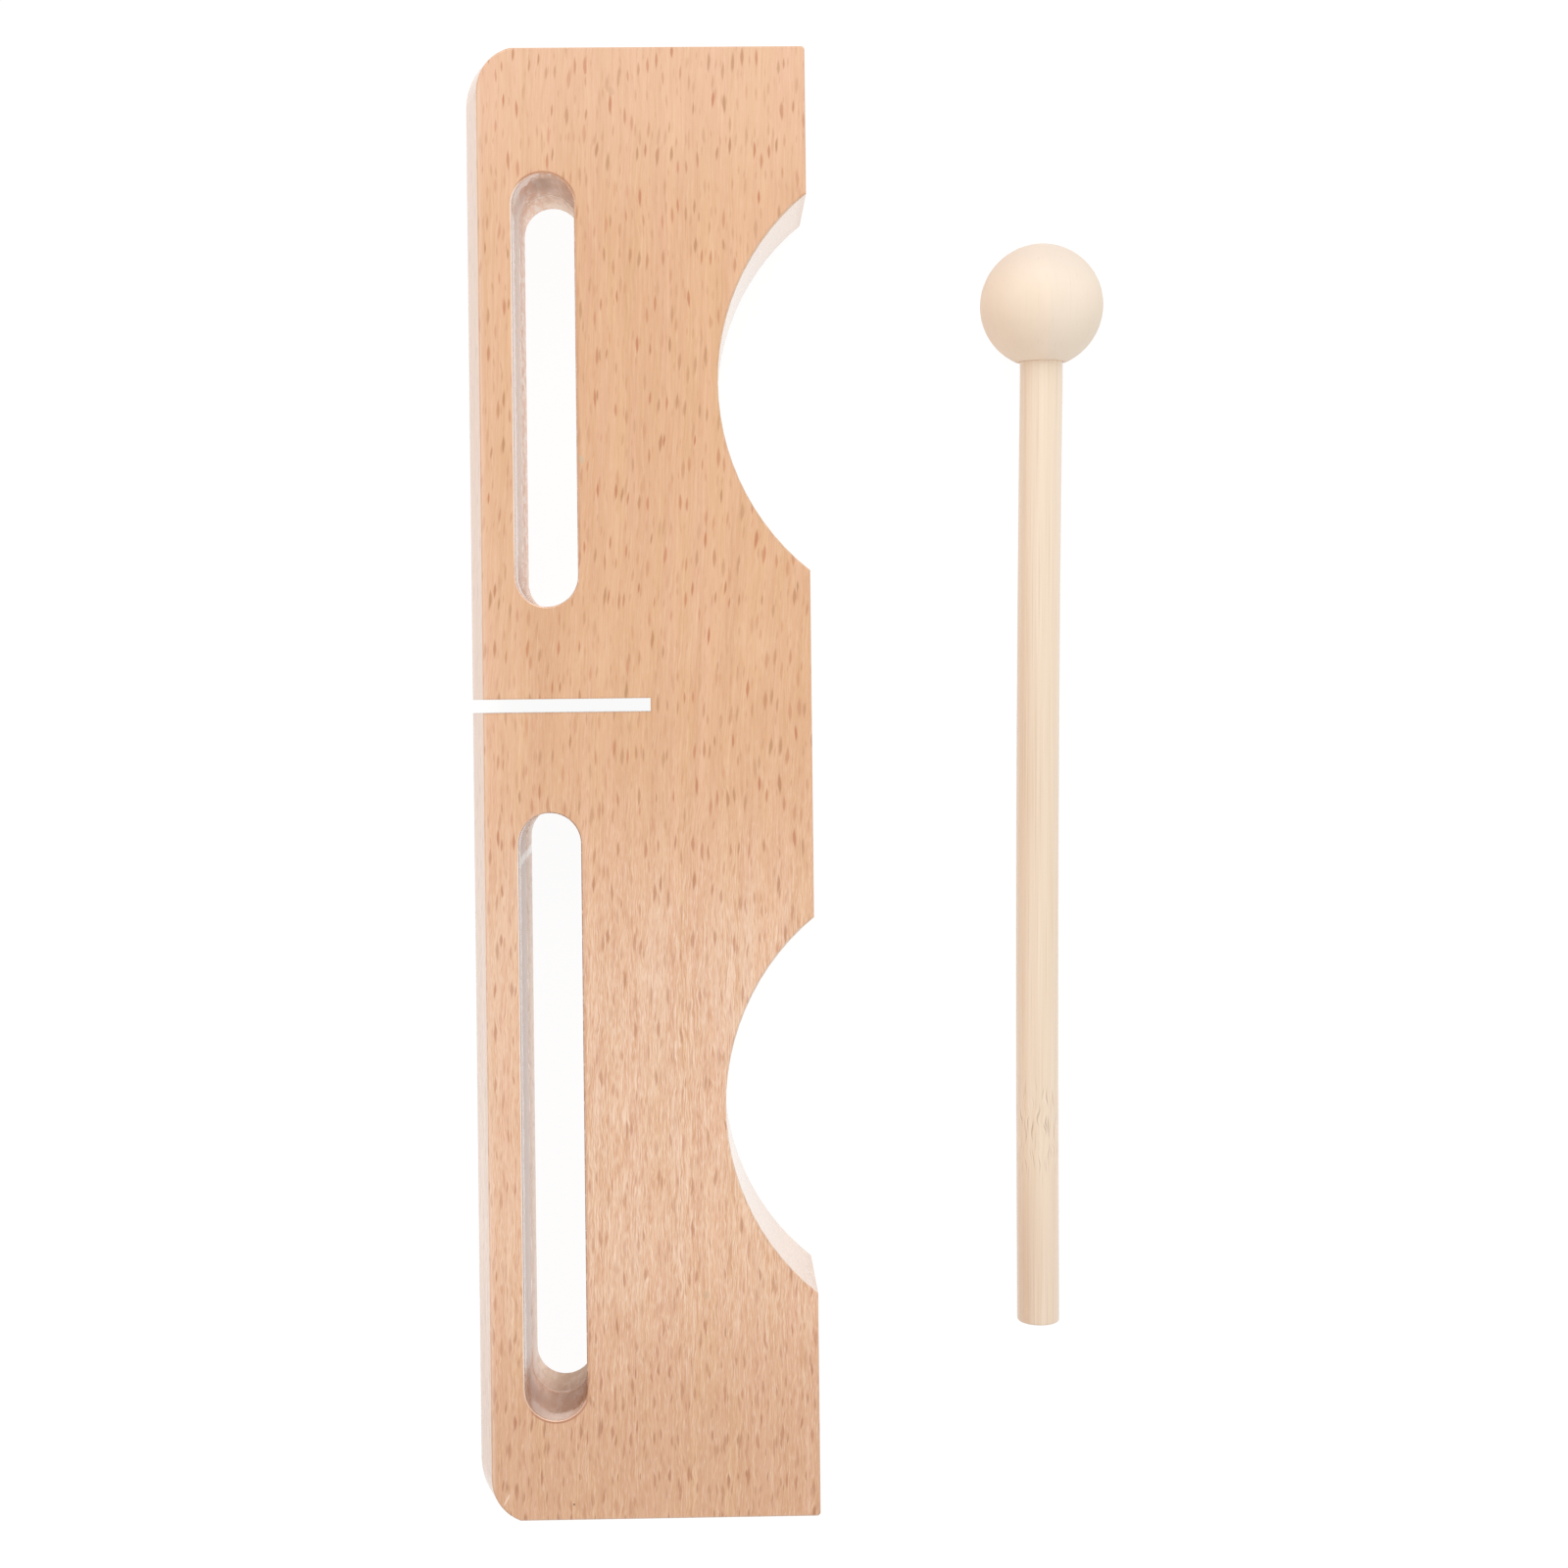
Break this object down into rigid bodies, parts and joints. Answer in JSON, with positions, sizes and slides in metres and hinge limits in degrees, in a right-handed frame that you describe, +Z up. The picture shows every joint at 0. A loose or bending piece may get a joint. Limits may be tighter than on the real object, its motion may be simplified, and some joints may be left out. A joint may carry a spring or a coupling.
{
  "type": "woodblock with mallet",
  "caption": "Flat beech percussion woodblock with routed tone slots of different length, a saw kerf between its tongues, arched finger cut-outs, and a ball-headed mallet beside it.",
  "frame": {"origin": "middle of the block's underside, on the table", "axes": "+X from the strike edge to the feet, +Y along the block towards the short slot, +Z up from the table"},
  "size_m": [0.1029, 0.23, 0.025],
  "materials": {
    "beech": "planed and sanded beech with a thin satin finish",
    "turned_ball": "turned pale hardwood, sanded, unfinished",
    "bamboo": "round-milled bamboo, sanded, unfinished"
  },
  "bodies": {
    "block": {"block": "beech"},
    "mallet": {"mallet_head": "turned_ball", "mallet_stick": "bamboo"}
  },
  "joints": [
    {"name": "mallet_lift", "type": "slide", "parent": "block", "child": "mallet", "axis": [0, 0, 1], "range_m": [0, 0.1]}
  ]
}
